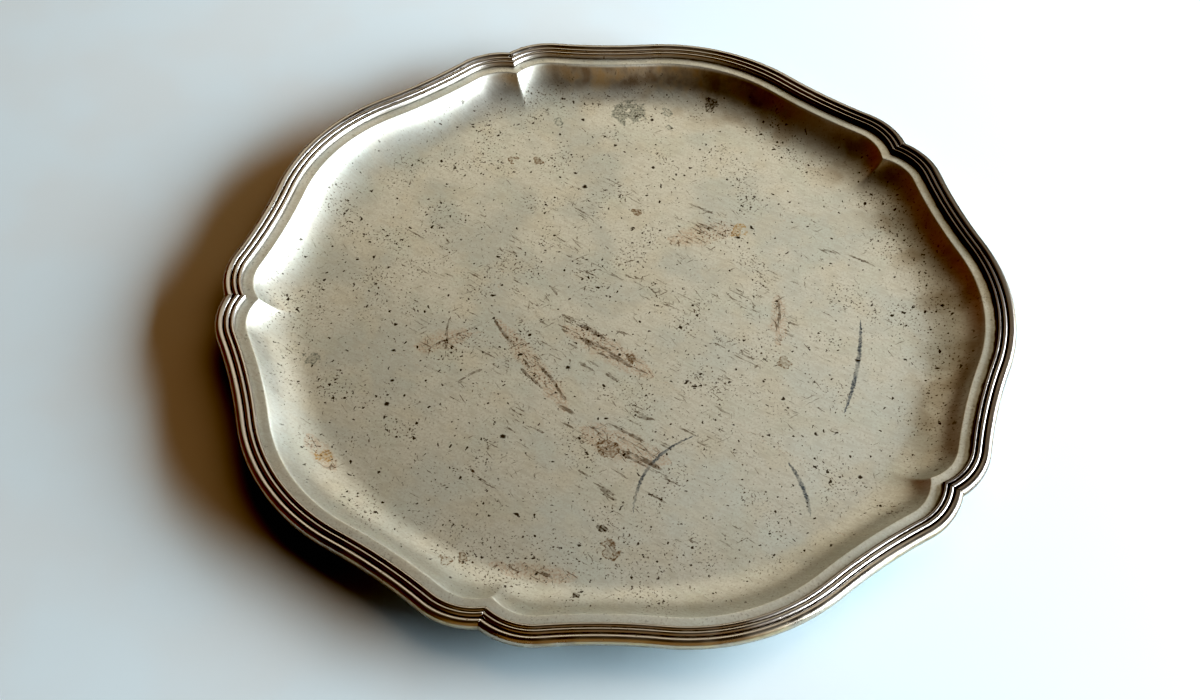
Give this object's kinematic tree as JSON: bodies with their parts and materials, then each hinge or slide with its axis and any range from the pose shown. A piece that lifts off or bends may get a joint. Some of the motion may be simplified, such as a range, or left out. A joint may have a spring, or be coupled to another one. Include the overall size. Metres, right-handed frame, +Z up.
{
  "type": "serving platter",
  "caption": "Round serving platter of pressed metal sheet: a shallow flat-floored well with coved and creased walls, and a lobed flange edged with mitred lengths of reeded moulding.",
  "frame": {"origin": "centre of the flat underside that the platter stands on", "axes": "+Z up out of the well, +X through the middle of a lobe, and the cusps between lobes start 36 degrees from +X"},
  "size_m": [0.299, 0.2932, 0.0125],
  "materials": {
    "tray_plate": "satin",
    "moulding_plate": "satin",
    "solder": "matte"
  },
  "bodies": {
    "root": {"tray_body": "tray_plate", "rim_moulding_1": "moulding_plate", "rim_moulding_2": "moulding_plate", "rim_moulding_3": "moulding_plate", "rim_moulding_4": "moulding_plate", "rim_moulding_5": "moulding_plate", "solder_seam_1": "solder", "solder_seam_2": "solder", "solder_seam_3": "solder", "solder_seam_4": "solder", "solder_seam_5": "solder"}
  },
  "joints": []
}
